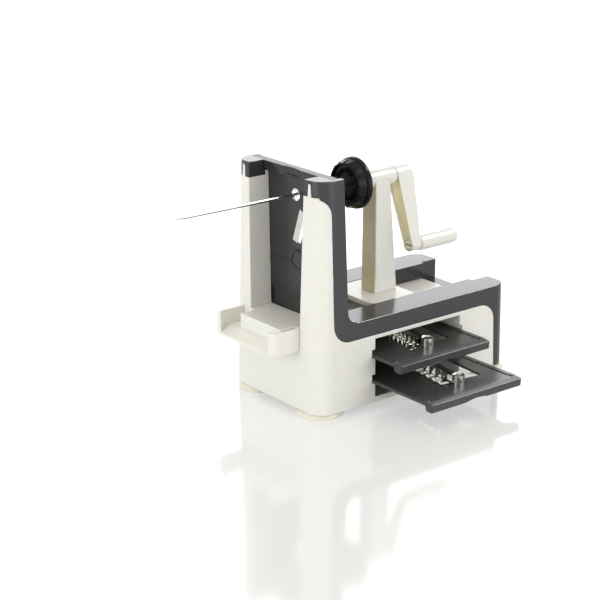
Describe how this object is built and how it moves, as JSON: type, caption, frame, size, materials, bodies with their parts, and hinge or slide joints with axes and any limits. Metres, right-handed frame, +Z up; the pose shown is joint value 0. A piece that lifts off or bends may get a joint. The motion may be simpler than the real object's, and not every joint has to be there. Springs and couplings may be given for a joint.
{
  "type": "spiralizer",
  "caption": "Hand-cranked vegetable spiralizer: suction-footed base, sliding crank carriage with skewer, upright cutting plate and spare plates stored under the rails.",
  "frame": {"origin": "centre of the bounding box at the level of the table, under the suction feet, at rest", "axes": "+X along the crank axis from the skewer's tip towards the crank, +Y away from the side on which the spare plates pull out, +Z up"},
  "size_m": [0.3844, 0.2454, 0.2471],
  "materials": {
    "white_plastic": "gloss",
    "dark_trim": "semi-gloss",
    "suction_rubber": "satin",
    "plate_plastic": "satin",
    "black_plastic": "gloss",
    "bush_plastic": "matte",
    "steel": "polished"
  },
  "bodies": {
    "base": {"housing": "white_plastic", "base_plate": "white_plastic", "near_trim": "dark_trim", "far_trim": "dark_trim", "rear_crossbar": "dark_trim", "seat_block": "white_plastic", "front_tray": "white_plastic", "front_guide": "white_plastic", "rear_guide": "white_plastic", "foot_front_near": "suction_rubber", "foot_front_far": "suction_rubber", "foot_rear_near": "suction_rubber", "foot_rear_far": "suction_rubber", "working_frame": "plate_plastic", "working_tube": "steel", "working_blade": "steel"},
    "carriage": {"sled": "white_plastic", "tower": "white_plastic", "tower_screws": "steel", "front_bush": "bush_plastic", "rear_bush": "bush_plastic"},
    "crank": {"drive_shaft": "steel", "drive_disc": "black_plastic", "skewer": "steel", "crank_arm": "white_plastic", "arm_screw": "steel"},
    "grip_body": {"grip": "white_plastic"},
    "upper_plate": {"upper_frame": "plate_plastic", "upper_tube": "steel", "upper_comb": "steel", "upper_blade": "steel"},
    "lower_plate": {"lower_frame": "plate_plastic", "lower_tube": "steel", "lower_comb": "steel", "lower_blade": "steel"}
  },
  "joints": [
    {"name": "carriage_slide", "type": "slide", "parent": "base", "child": "carriage", "axis": [1, 0, 0], "range_m": [-0.044, 0.075]},
    {"name": "crank_spin", "type": "hinge", "parent": "carriage", "child": "crank", "pos_m": [0.09275, 0.04025, 0.218], "axis": [1, 0, 0], "continuous": true},
    {"name": "grip_spin", "type": "hinge", "parent": "crank", "child": "grip_body", "pos_m": [0.11775, 0.01355, 0.1471], "axis": [1, 0, 0], "continuous": true},
    {"name": "upper_plate_slide", "type": "slide", "parent": "base", "child": "upper_plate", "axis": [0, 1, 0], "range_m": [-0.07, 0.0299]},
    {"name": "lower_plate_slide", "type": "slide", "parent": "base", "child": "lower_plate", "axis": [0, 1, 0], "range_m": [-0.0225, 0.0774]}
  ]
}
